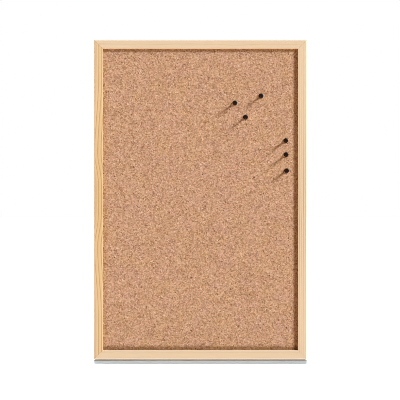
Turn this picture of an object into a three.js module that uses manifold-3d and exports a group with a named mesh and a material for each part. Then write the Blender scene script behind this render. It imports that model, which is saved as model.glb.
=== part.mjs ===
// Framed cork pinboard: four mitred pine rails round a panel of cork, softboard and hardboard,
// with two toothed hangers nailed to its back and six push pins in its face.
// Millimetres. X runs to the right as seen from the front, Y from the front towards the wall, Z up.
// The origin lies in the plane of the rails' backs, at the middle notch of the top hanger,
// where the nail in the wall carries the board.

import * as THREE from "three";
import { mergeVertices } from "three/addons/utils/BufferGeometryUtils.js";
import Module from "manifold-3d";

const wasm = await Module();
wasm.setup();

// Frame
const boardWidth = 400;
const boardHeight = 600;
const railWidth = 17;
const railDepth = 20;
const lipDepth = 4.2; // thickness of the front lip, so the cork lies this far behind the frame's face
const rebateWidth = 6;
const outerRound = 2.5;
const sightRound = 1;
const backRound = 0.6;
const mitreGap = 0.3; // glue line between two rails

// Panel, layer by layer from the front
const corkThickness = 3;
const coreThickness = 8;
const backThickness = 2;
const panelPlay = 1; // on each edge, inside the rebate
const bondGap = 0.1; // glue line between two layers

// Clearances
const seatGap = 0.3; // between pieces that rest on one another
const slotGap = 0.3; // round a piece driven into wood
const pierceGap = 0.15; // round a needle in the panel and in its handle

// Folded nails that draw each mitre together, driven from the back
const cornerNailCount = 2;
const cornerNailLeg = 3.4;
const cornerNailThickness = 0.6;
const cornerNailDepth = 10;
const cornerNailSink = 0.2; // driven this far below the rail's back

// Flat points that hold the panel in the rebate
const shortSidePoints = 2;
const longSidePoints = 4;
const pointWidth = 6;
const pointThickness = 0.5;
const pointShow = 8; // length left showing over the panel's back
const pointCover = 4; // wood left between a point's tip and the rail's outer face
const pointTip = 2.5; // length of the tapered tip

// Toothed hangers, a bent steel strip
const hangerHeight = 9;
const hangerThickness = 0.8;
const hangerRise = 1.6; // room behind the bridge for the head of a wall nail
const hangerBendRun = 1.8;
const hangerTab = 8;
const hangerTabRound = 2.5;
const bridgeHeight = 5; // from the teeth's tips to the top edge
const toothCount = 9;
const toothPitch = 2.6;
const toothDepth = 1.4;
const bridgeMargin = 0.6; // plain strip between the last tooth and the bend

// Nails that fix the hangers
const nailRadius = 0.7;
const nailLength = 11;
const nailTip = 1.5;
const nailHeadRadius = 1.7;
const nailHeadHeight = 0.7;

// Push pins
const pinHeight = 14.2;
const pinCapRadius = 3.2;
const pinCapThickness = 2.2;
const pinCapRound = 0.7;
const pinWaistRadius = 1.65;
const pinFlangeRadius = 4.6;
const pinFlangeThickness = 1.5;
const pinFlangeRound = 0.5;
const needleRadius = 0.55;
const needleLength = 10.5; // below the flange
const needleRoot = 8; // moulded into the handle
const needleTip = 3;
// Each pin's place, to the left of the sight opening's right edge and below its top edge
const pinPlaces = [
  [118.2, 101.4],
  [69.1, 88.2],
  [98.3, 128.2],
  [22.6, 172.2],
  [21.9, 198.5],
  [21, 228.8],
];

// Facets of round pieces
const arcSteps = 3;
const plateSteps = 5;
const neckSteps = 9;
const pinFacets = 20;
const needleFacets = 10;
const nailFacets = 10;

// Sizes that follow
const landWidth = railWidth - rebateWidth;
const sightWidth = boardWidth - 2 * railWidth;
const sightHeight = boardHeight - 2 * railWidth;
const panelWidth = sightWidth + 2 * (rebateWidth - panelPlay);
const panelHeight = sightHeight + 2 * (rebateWidth - panelPlay);
const corkFront = -railDepth + lipDepth + seatGap;
const coreFront = corkFront + corkThickness + bondGap;
const backFront = coreFront + coreThickness + bondGap;
const pointFront = backFront + backThickness + seatGap;
const pointBite = landWidth - pointCover;
const toothTipHeight = hangerHeight / 2 - bridgeHeight;
const toothRootHeight = toothTipHeight + toothDepth;
const toothSpan = toothCount * toothPitch;
const bendStart = toothSpan / 2 + bridgeMargin;
const bendEnd = bendStart + hangerBendRun;
const hangerLength = 2 * (bendEnd + hangerTab);
const nailSpacing = bendEnd + hangerTab / 2;
const hangerSeat = landWidth / 2; // hanger's middle, in from the rail's outer face
const hangHeight = boardHeight / 2 - hangerSeat + toothRootHeight;

const pine = { color: 0xe9c896, roughness: 0.6, metalness: 0 };
const cork = { color: 0xc89a78, roughness: 0.95, metalness: 0 };
const softboard = { color: 0xa98a66, roughness: 1, metalness: 0 };
const hardboard = { color: 0x7a5236, roughness: 0.7, metalness: 0 };
const steel = { color: 0xb4b8bb, roughness: 0.35, metalness: 1 };
const blackPlastic = { color: 0x120d0b, roughness: 0.25, metalness: 0 };

function piece(name, geometry, finish) {
  const mesh = new THREE.Mesh(geometry, new THREE.MeshStandardMaterial(finish));
  mesh.name = name;
  return mesh;
}

// Booleans
function solid(geometry) {
  const bare = geometry.clone();
  bare.deleteAttribute("normal");
  bare.deleteAttribute("uv");
  const merged = mergeVertices(bare);
  const vertProperties = new Float32Array(merged.attributes.position.array);
  const triVerts = new Uint32Array(merged.index.array);
  return new wasm.Manifold(new wasm.Mesh({ numProp: 3, vertProperties, triVerts }));
}

function surface(body) {
  const mesh = body.getMesh();
  const geometry = new THREE.BufferGeometry();
  geometry.setAttribute("position", new THREE.BufferAttribute(mesh.vertProperties, mesh.numProp));
  geometry.setIndex(new THREE.BufferAttribute(mesh.triVerts, 1));
  geometry.computeVertexNormals();
  return geometry;
}

// A shape drawn in X and Z, made thick from y = 0 towards the front
function plate(shape, thickness) {
  const options = { depth: thickness, bevelEnabled: false, curveSegments: plateSteps };
  return new THREE.ExtrudeGeometry(shape, options).rotateX(Math.PI / 2);
}

function outline(corners) {
  return new THREE.Shape(corners.map(([x, z]) => new THREE.Vector2(x, z)));
}

// A rail's section: across from its outer face, and back from its front face
function railSection() {
  const shape = new THREE.Shape();
  shape.moveTo(outerRound, 0);
  shape.lineTo(railWidth - sightRound, 0);
  shape.absarc(railWidth - sightRound, sightRound, sightRound, -Math.PI / 2, 0);
  shape.lineTo(railWidth, lipDepth);
  shape.lineTo(landWidth, lipDepth);
  shape.lineTo(landWidth, railDepth);
  shape.lineTo(backRound, railDepth);
  shape.absarc(backRound, railDepth - backRound, backRound, Math.PI / 2, Math.PI);
  shape.lineTo(0, outerRound);
  shape.absarc(outerRound, outerRound, outerRound, Math.PI, 1.5 * Math.PI);
  return shape;
}

// A rail lying along X with its outer face up, each end sheared to its mitre
function railBlank(length, outward) {
  const options = { depth: length, bevelEnabled: false, curveSegments: arcSteps };
  const blank = new THREE.ExtrudeGeometry(railSection(), options);
  const places = blank.attributes.position;
  for (let i = 0; i < places.count; i += 1) {
    const inset = places.getX(i) + mitreGap / Math.SQRT2;
    const end = places.getZ(i);
    places.setZ(i, end === 0 ? inset : end - inset);
  }
  blank.translate(0, -railDepth, -length / 2).rotateY(Math.PI / 2).translate(0, 0, outward);
  return solid(blank);
}

// A corner nail's fold and two legs, drawn from a corner whose rails run along -X and -Z
function cornerNailOutline(index, grown) {
  const fold = -((index + 1) * landWidth) / (cornerNailCount + 1);
  const half = cornerNailThickness / 2 + grown;
  const tip = fold - cornerNailLeg - grown;
  return outline([
    [fold + half, fold + half],
    [tip, fold + half],
    [tip, fold - half],
    [fold - half, fold - half],
    [fold - half, tip],
    [fold + half, tip],
  ]);
}

function cornerNail(name, index) {
  return piece(name, plate(cornerNailOutline(index, 0), cornerNailDepth), steel);
}

// A slot for a corner nail, open at the rail's back
function cornerNailSlot(index, turn) {
  const depth = cornerNailSink + cornerNailDepth + 2 * slotGap;
  return plate(cornerNailOutline(index, slotGap), depth).translate(0, slotGap, 0).rotateY(turn);
}

// A point's outline, its root over the panel and its tapered tip in the wood
function pointOutline() {
  const half = pointWidth / 2;
  return outline([
    [-half, -pointShow],
    [half, -pointShow],
    [half, pointBite - pointTip],
    [half / 2, pointBite],
    [-half / 2, pointBite],
    [-half, pointBite - pointTip],
  ]);
}

function pointSlot() {
  const length = pointBite + 2 * slotGap;
  const slot = new THREE.BoxGeometry(pointWidth + 2 * slotGap, pointThickness + 2 * slotGap, length);
  return slot.translate(0, pointFront + pointThickness / 2, length / 2 - slotGap);
}

function pointPlaces(count, length) {
  return Array.from({ length: count }, (_, i) => ((i + 0.5) / count - 0.5) * length);
}

// A hanger's bent strip seen along its height, its tabs on the rail's back
function hangerStrip() {
  const bend = [
    [-hangerLength / 2, 0],
    [-bendEnd, 0],
    [-bendStart, hangerRise],
    [bendStart, hangerRise],
    [bendEnd, 0],
    [hangerLength / 2, 0],
  ];
  const far = bend.map(([x, y]) => [x, y + hangerThickness]).reverse();
  const options = { depth: hangerHeight, bevelEnabled: false };
  return new THREE.ExtrudeGeometry(outline([...bend, ...far]), options).translate(0, 0, -hangerHeight / 2);
}

// A hanger's face: two tabs with nail holes, and a toothed edge under the bridge
function hangerFace() {
  const half = hangerLength / 2;
  const top = hangerHeight / 2;
  const round = Math.min(hangerTabRound, top);
  const shape = new THREE.Shape();
  shape.moveTo(half - round, top);
  shape.absarc(-half + round, top - round, round, Math.PI / 2, Math.PI);
  shape.absarc(-half + round, -top + round, round, Math.PI, 1.5 * Math.PI);
  shape.lineTo(-toothSpan / 2, -top);
  for (let i = 0; i <= 2 * toothCount; i += 1) {
    const height = i % 2 === 0 ? toothTipHeight : toothRootHeight;
    shape.lineTo((i * toothPitch - toothSpan) / 2, height);
  }
  shape.lineTo(toothSpan / 2, -top);
  shape.absarc(half - round, -top + round, round, -Math.PI / 2, 0);
  shape.absarc(half - round, top - round, round, 0, Math.PI / 2);
  for (const x of [-nailSpacing, nailSpacing]) {
    shape.holes.push(new THREE.Path().absarc(x, 0, nailRadius + slotGap, 0, 2 * Math.PI));
  }
  return shape;
}

function hanger(name) {
  const through = hangerRise + hangerThickness;
  const face = plate(hangerFace(), 3 * through).translate(0, 2 * through, 0);
  return piece(name, surface(solid(hangerStrip()).intersect(solid(face))), steel);
}

// A round piece turned about Y from its profile of radius and height
function turned(profile, facets) {
  return new THREE.LatheGeometry(profile, facets);
}

function shankProfile(radius, length, tip, grown) {
  return [
    new THREE.Vector2(0, -length - grown),
    new THREE.Vector2(radius + grown, -length + tip),
  ];
}

function nail(name) {
  const head = new THREE.Path();
  head.moveTo(nailRadius, 0);
  head.lineTo(nailHeadRadius, 0);
  head.quadraticCurveTo(nailHeadRadius, nailHeadHeight, 0, nailHeadHeight);
  const shank = shankProfile(nailRadius, nailLength, nailTip, 0);
  return piece(name, turned([...shank, ...head.getPoints(arcSteps)], nailFacets), steel);
}

function nailHole() {
  const radius = nailRadius + slotGap;
  const hole = new THREE.CylinderGeometry(radius, radius, nailLength + slotGap, nailFacets);
  return hole.translate(0, (slotGap - nailLength) / 2, 0);
}

// A push pin's handle, its flange at height 0 and its needle's bore on the axis
function pinHandle(name) {
  const bore = needleRadius + pierceGap;
  const boreDepth = needleRoot + pierceGap;
  const capBase = pinHeight - pinCapThickness;
  const flange = new THREE.Path();
  flange.moveTo(0, boreDepth);
  flange.lineTo(bore, boreDepth);
  flange.lineTo(bore, 0);
  flange.lineTo(pinFlangeRadius - pinFlangeRound, 0);
  flange.quadraticCurveTo(pinFlangeRadius, 0, pinFlangeRadius, pinFlangeRound);
  flange.lineTo(pinFlangeRadius, pinFlangeThickness - pinFlangeRound);
  const shoulder = pinFlangeRadius - pinFlangeRound;
  flange.quadraticCurveTo(pinFlangeRadius, pinFlangeThickness, shoulder, pinFlangeThickness);
  const capEdge = pinCapRadius - pinCapRound;
  // The neck's curve is pulled in until its middle is the waist
  const pull = (8 * pinWaistRadius - shoulder - capEdge) / 6;
  const neck = new THREE.CubicBezierCurve(
    new THREE.Vector2(shoulder, pinFlangeThickness),
    new THREE.Vector2(pull, pinFlangeThickness),
    new THREE.Vector2(pull, capBase),
    new THREE.Vector2(capEdge, capBase),
  );
  const cap = new THREE.Path();
  cap.moveTo(capEdge, capBase);
  cap.quadraticCurveTo(pinCapRadius, capBase, pinCapRadius, capBase + pinCapRound);
  cap.lineTo(pinCapRadius, pinHeight - pinCapRound);
  cap.quadraticCurveTo(pinCapRadius, pinHeight, capEdge, pinHeight);
  cap.lineTo(0, pinHeight);
  const necks = neck.getPoints(neckSteps).slice(1, -1);
  const profile = [...flange.getPoints(arcSteps), ...necks, ...cap.getPoints(arcSteps)];
  return piece(name, turned(profile, pinFacets), blackPlastic);
}

function needle(name) {
  const shank = shankProfile(needleRadius, needleLength, needleTip, 0);
  const root = [new THREE.Vector2(needleRadius, needleRoot), new THREE.Vector2(0, needleRoot)];
  return piece(name, turned([...shank, ...root], needleFacets), steel);
}

// The hole that a needle leaves, open above the cork
function needleHole() {
  const radius = needleRadius + pierceGap;
  const shank = shankProfile(needleRadius, needleLength, needleTip, pierceGap);
  const mouth = [new THREE.Vector2(radius, needleRoot), new THREE.Vector2(0, needleRoot)];
  return turned([...shank, ...mouth], needleFacets);
}

// Where each pin stands, from the board's middle
const pinSpots = pinPlaces.map(([fromRight, fromTop]) => ({
  x: sightWidth / 2 - fromRight,
  y: corkFront - seatGap,
  z: sightHeight / 2 - fromTop,
}));

// One layer of the panel, pierced by the needles that reach it
function panelLayer(name, front, thickness, finish) {
  const slab = new THREE.BoxGeometry(panelWidth, thickness, panelHeight);
  let body = solid(slab.translate(0, front + thickness / 2, 0));
  for (const { x, y, z } of pinSpots) {
    body = body.subtract(solid(needleHole().rotateX(Math.PI).translate(x, y, z)));
  }
  return piece(name, surface(body), finish);
}

// One side of the frame, built as the top and turned into place
function side({ name, corner, turn, length, outward, points, hung }) {
  const group = new THREE.Group();
  const wall = outward - landWidth;
  const hangerPlace = new THREE.Vector3(0, seatGap, outward - hangerSeat);
  const nailSeat = hangerPlace.y + hangerThickness + seatGap;
  const places = pointPlaces(points, length);
  let rail = railBlank(length, outward);
  for (let i = 0; i < cornerNailCount; i += 1) {
    rail = rail.subtract(solid(cornerNailSlot(i, 0).translate(length / 2, 0, outward)));
    rail = rail.subtract(solid(cornerNailSlot(i, -Math.PI / 2).translate(-length / 2, 0, outward)));
    const fastener = cornerNail(`corner_nail_${corner}_${i + 1}`, i);
    fastener.position.set(length / 2, -cornerNailSink, outward);
    group.add(fastener);
  }
  places.forEach((x, i) => {
    rail = rail.subtract(solid(pointSlot().translate(x, 0, wall)));
    const point = piece(`point_${name}_${i + 1}`, plate(pointOutline(), pointThickness), steel);
    point.position.set(x, pointFront + pointThickness, wall);
    group.add(point);
  });
  if (hung) {
    const plateMesh = hanger(`hanger_${name}`);
    plateMesh.position.copy(hangerPlace);
    group.add(plateMesh);
    [-nailSpacing, nailSpacing].forEach((x, i) => {
      rail = rail.subtract(solid(nailHole().translate(x, nailSeat, hangerPlace.z)));
      const fixing = nail(`hanger_${name}_nail_${i + 1}`);
      fixing.position.set(x, nailSeat, hangerPlace.z);
      group.add(fixing);
    });
  }
  group.add(piece(`rail_${name}`, surface(rail), pine));
  group.rotation.y = turn;
  return group;
}

const shortSide = { length: boardWidth, outward: boardHeight / 2, points: shortSidePoints };
const longSide = { length: boardHeight, outward: boardWidth / 2, points: longSidePoints };
const sides = [
  { ...shortSide, name: "top", corner: "top_right", turn: 0, hung: true },
  { ...longSide, name: "right", corner: "bottom_right", turn: Math.PI / 2, hung: false },
  { ...shortSide, name: "bottom", corner: "bottom_left", turn: Math.PI, hung: false },
  { ...longSide, name: "left", corner: "top_left", turn: -Math.PI / 2, hung: true },
];

const board = new THREE.Group();
sides.forEach((each) => board.add(side(each)));
board.add(panelLayer("cork_sheet", corkFront, corkThickness, cork));
board.add(panelLayer("softboard_core", coreFront, coreThickness, softboard));
board.add(panelLayer("hardboard_back", backFront, backThickness, hardboard));

pinSpots.forEach(({ x, y, z }, i) => {
  const pin = new THREE.Group();
  pin.add(pinHandle(`pin_${i + 1}_handle`), needle(`pin_${i + 1}_needle`));
  pin.position.set(x, y, z);
  pin.rotation.x = Math.PI; // the handle stands out towards the front
  board.add(pin);
});

board.position.z = -hangHeight;
const pinboard = new THREE.Group();
pinboard.name = "pinboard";
pinboard.add(board);

export default pinboard;
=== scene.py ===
"""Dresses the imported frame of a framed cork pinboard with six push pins.

Metres, in the CAD frame: X to the right, Y from the front towards the wall, Z up. The origin is the
middle notch of the top hanger, in the plane of the rails' backs. The finishes' patterns are in
millimetres.
"""

import logging
import math
from collections.abc import Callable, Iterator, Sequence
from contextlib import contextmanager
from dataclasses import dataclass
from enum import Enum
from functools import cache

import bmesh
import bpy
from bpy.types import Collection, Material, Node, NodeSocket, NodeTree, Object
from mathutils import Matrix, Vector


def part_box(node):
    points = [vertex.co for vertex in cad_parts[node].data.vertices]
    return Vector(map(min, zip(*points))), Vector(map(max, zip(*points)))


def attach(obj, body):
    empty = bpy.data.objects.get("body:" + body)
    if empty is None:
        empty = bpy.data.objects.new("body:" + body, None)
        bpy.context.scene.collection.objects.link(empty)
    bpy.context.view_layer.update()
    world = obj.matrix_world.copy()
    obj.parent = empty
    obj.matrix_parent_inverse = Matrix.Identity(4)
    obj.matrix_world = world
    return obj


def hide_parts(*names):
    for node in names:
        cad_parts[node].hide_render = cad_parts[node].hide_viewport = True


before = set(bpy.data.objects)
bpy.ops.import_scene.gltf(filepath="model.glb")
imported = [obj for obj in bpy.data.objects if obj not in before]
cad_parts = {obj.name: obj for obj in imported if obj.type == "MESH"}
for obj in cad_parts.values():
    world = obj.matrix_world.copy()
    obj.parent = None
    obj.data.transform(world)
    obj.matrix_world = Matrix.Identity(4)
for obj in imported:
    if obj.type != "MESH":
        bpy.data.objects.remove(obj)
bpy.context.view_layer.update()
LOG = logging.getLogger("pinboard")

MM = 0.001
PER_METRE = 1000.0
TOLERANCE = 0.02 * MM
FACING = 0.9  # cosine from which a face counts as facing a way
MERGE_DISTANCE = 0.001 * MM
FLAT_ANGLE = math.radians(1.0)  # faces that meet more flatly than this are merged
SHARP_ANGLE = math.radians(30.0)  # edges sharper than this are rounded
PIN_NUMBERS = range(1, 7)
TOWARDS_FRONT = Vector((0.0, -1.0, 0.0))
TOWARDS_WALL = Vector((0.0, 1.0, 0.0))
UPWARDS = Vector((0.0, 0.0, 1.0))

Colour = tuple[float, float, float]
Pair = tuple[float, float]
WHITE: Colour = (1.0, 1.0, 1.0)


def srgb(red: float, green: float, blue: float) -> Colour:
    """Turn a colour as a screen shows it, from 0 to 255, into the linear one that shaders take."""
    shares = [part / 255.0 for part in (red, green, blue)]
    return tuple(part / 12.92 if part <= 0.04045 else ((part + 0.055) / 1.055) ** 2.4 for part in shares)


class Side(Enum):
    """A side of the frame, with the way that it faces."""

    TOP = (0.0, 0.0, 1.0)
    RIGHT = (1.0, 0.0, 0.0)
    BOTTOM = (0.0, 0.0, -1.0)
    LEFT = (-1.0, 0.0, 0.0)

    @property
    def label(self) -> str:
        """The side's name in the CAD nodes."""
        return self.name.lower()

    @property
    def outward(self) -> Vector:
        """The way from the board's middle to this side."""
        return Vector(self.value)

    @property
    def along(self) -> Vector:
        """The way that this side's rail runs."""
        return Vector((abs(self.value[2]), 0.0, abs(self.value[0])))


class Slot(Enum):
    """Names of material slots, which the pins' list carries though no piece is given one."""

    PINE = "pine"
    CORK = "cork"
    HARDBOARD = "hardboard"
    FIXING_STEEL = "fixing_steel"
    HANGER_STEEL = "hanger_steel"
    BLACK_PLASTIC = "black_plastic"
    NEEDLE_STEEL = "needle_steel"


class Part(Enum):
    """What is picked of a mesh."""

    FACES = "FACE"
    EDGES = "EDGE"


class Kind(Enum):
    """Kinds of sockets of a node group."""

    VECTOR = "NodeSocketVector"
    VALUE = "NodeSocketFloat"
    COLOUR = "NodeSocketColor"


class Link(Enum):
    """Whether a light deals with some objects alone, or with all but those."""

    ALONE = "INCLUDE"
    ALL_BUT = "EXCLUDE"


# Selecting and shaping, as by hand


def activate(piece: Object) -> None:
    """Make a piece the only one selected, and the active one.

    Args:
        piece: The piece.
    """
    bpy.ops.object.select_all(action="DESELECT")
    piece.select_set(True)
    bpy.context.view_layer.objects.active = piece


def settle(piece: Object, name: str) -> Object:
    """Name a new piece and move its place, turn and size into its mesh.

    Args:
        piece: An object that was just added.
        name: The name that it gets.

    Returns:
        The same object, now at the origin.
    """
    piece.name = name
    piece.data.name = name
    activate(piece)
    bpy.ops.object.transform_apply(location=True, rotation=True, scale=True)
    return piece


@contextmanager
def editing(piece: Object) -> Iterator[None]:
    """Open a piece in edit mode with nothing selected, and close it again.

    Args:
        piece: The piece.

    Yields:
        Nothing, while the piece is open.
    """
    activate(piece)
    bpy.ops.object.mode_set(mode="EDIT")
    bpy.ops.mesh.select_all(action="DESELECT")
    yield
    bpy.ops.object.mode_set(mode="OBJECT")


def pick(piece: Object, part: Part, test: Callable[[Vector, Vector], bool]) -> None:
    """Select only the faces or edges that pass a test.

    Args:
        piece: The object in edit mode.
        part: What is picked.
        test: Told a face's middle and its normal, or the places of an edge's two ends.
    """
    bpy.ops.mesh.select_mode(type=part.value)
    bpy.ops.mesh.select_all(action="DESELECT")
    mesh = bmesh.from_edit_mesh(piece.data)
    if part is Part.FACES:
        told = [(face, (face.calc_center_median(), face.normal)) for face in mesh.faces]
    else:
        told = [(edge, [end.co for end in edge.verts]) for edge in mesh.edges]
    for element, places in told:
        if test(*places):
            element.select_set(True)
    bmesh.update_edit_mesh(piece.data)


def near(first: float, second: float) -> bool:
    """Whether two places along an axis are the same."""
    return abs(first - second) < TOLERANCE


def block(name: str, first: Vector, second: Vector) -> Object:
    """Add a cube between two opposite corners.

    Args:
        name: The piece's name.
        first: One corner.
        second: The corner across from it.

    Returns:
        The new piece.
    """
    bpy.ops.object.select_all(action="DESELECT")
    bpy.ops.mesh.primitive_cube_add(size=1.0, location=(first + second) / 2)
    piece = bpy.context.object
    piece.scale = [abs(length) for length in second - first]
    return settle(piece, name)


def turned(name: str, foot: Vector, axis: Vector, stations: list[Pair], sides: int) -> Object:
    """Turn a round piece: a disc that is extruded and resized from station to station.

    Args:
        name: The piece's name.
        foot: The place on the axis that heights are taken from.
        axis: The way that heights rise, along Y.
        stations: Height and radius of each ring, from one end of the surface to the other.
        sides: Number of facets round the axis.

    Returns:
        The new piece, closed at both ends.
    """
    bpy.ops.object.select_all(action="DESELECT")
    height, radius = stations[0]
    bpy.ops.mesh.primitive_circle_add(
        vertices=sides,
        radius=radius,
        fill_type="NGON",
        location=foot + axis * height,
        rotation=(math.pi / 2, 0.0, 0.0),
    )
    piece = settle(bpy.context.object, name)
    with editing(piece):
        bpy.ops.mesh.select_all(action="SELECT")
        for next_height, next_radius in stations[1:]:
            step = axis * (next_height - height)
            bpy.ops.mesh.extrude_region_move(TRANSFORM_OT_translate={"value": step})
            factor = next_radius / radius
            centre = foot + axis * next_height
            bpy.ops.transform.resize(value=(factor, 1.0, factor), center_override=centre)
            height, radius = next_height, next_radius
        bpy.ops.mesh.select_all(action="SELECT")
        bpy.ops.mesh.normals_make_consistent(inside=False)
    return piece


def merged_copy(node: str, name: str) -> Object:
    """Copy a CAD node's mesh into a new piece, with its triangles merged into plain faces.

    Args:
        node: The CAD node.
        name: The new piece's name.

    Returns:
        The new piece. The node stays as it is.
    """
    piece = bpy.data.objects.new(name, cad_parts[node].data.copy())
    piece.data.name = name
    piece.data.materials.clear()
    bpy.context.scene.collection.objects.link(piece)
    with editing(piece):
        bpy.ops.mesh.select_all(action="SELECT")
        bpy.ops.mesh.remove_doubles(threshold=MERGE_DISTANCE)
        bpy.ops.mesh.dissolve_limited(angle_limit=FLAT_ANGLE)
        bpy.ops.mesh.normals_make_consistent(inside=False)
    return piece


def placed_copy(model: Object, name: str, offset: Vector) -> Object:
    """Copy a model with a mesh of its own and move the copy's mesh.

    Args:
        model: The piece to copy.
        name: The copy's name.
        offset: How far the copy lies from the model.

    Returns:
        The copy.
    """
    piece = bpy.data.objects.new(name, model.data.copy())
    bpy.context.scene.collection.objects.link(piece)
    piece.location = offset
    return settle(piece, name)


def apply_modifier(piece: Object, kind: str, **settings: object) -> None:
    """Add a modifier to a piece and apply it.

    Args:
        piece: The piece.
        kind: The modifier's type.
        settings: The modifier's own properties.
    """
    modifier = piece.modifiers.new(kind.lower(), kind)
    for name, value in settings.items():
        setattr(modifier, name, value)
    activate(piece)
    bpy.ops.object.modifier_apply(modifier=modifier.name)


def soften(piece: Object, width: float) -> None:
    """Round a piece's sharp arrises to a width."""
    settings = {"segments": 2, "limit_method": "ANGLE", "angle_limit": SHARP_ANGLE}
    apply_modifier(piece, "BEVEL", width=width, **settings)


def carve(piece: Object, cutters: list[Object], solver: str = "EXACT") -> None:
    """Cut the shapes of some other objects out of a piece, and remove them.

    Args:
        piece: The piece that is cut.
        cutters: Closed objects that don't touch one another.
        solver: The Boolean modifier's way of working.
    """
    activate(cutters[0])
    for cutter in cutters:
        cutter.select_set(True)
    bpy.ops.object.join()
    apply_modifier(piece, "BOOLEAN", operation="DIFFERENCE", solver=solver, object=cutters[0])
    bpy.data.objects.remove(cutters[0])


def smooth(piece: Object, angle: float = 40.0) -> None:
    """Shade a piece smooth, with its flats kept flat.

    Args:
        piece: The piece.
        angle: Edges sharper than this, in degrees, stay sharp.
    """
    activate(piece)
    bpy.ops.object.shade_smooth()
    with editing(piece):
        bpy.ops.mesh.select_mode(type=Part.EDGES.value)
        bpy.ops.mesh.edges_select_sharp(sharpness=math.radians(angle))
        bpy.ops.mesh.mark_sharp()
    apply_modifier(piece, "WEIGHTED_NORMAL", weight=100, keep_sharp=True)


def end_of(node: str, way: Vector) -> Vector:
    """The middle of the side of a CAD node's box that lies one way along an axis."""
    low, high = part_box(node)
    return (low + high) / 2 + way * abs((high - low).dot(way)) / 2


def fit(piece: Object, node: str, finish: Material, body: str = "board") -> None:
    """Dress a finished piece and put it in its CAD node's place.

    Args:
        piece: The piece.
        node: The CAD node that it stands for.
        finish: Its material.
        body: The CAD body that it moves with.
    """
    piece.data.materials.clear()
    piece.data.materials.append(finish)
    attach(piece, body)
    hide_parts(node)
    LOG.info("%s: %d faces, on %s, for %s", piece.name, len(piece.data.polygons), body, node)


# Node work for the finishes


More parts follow.
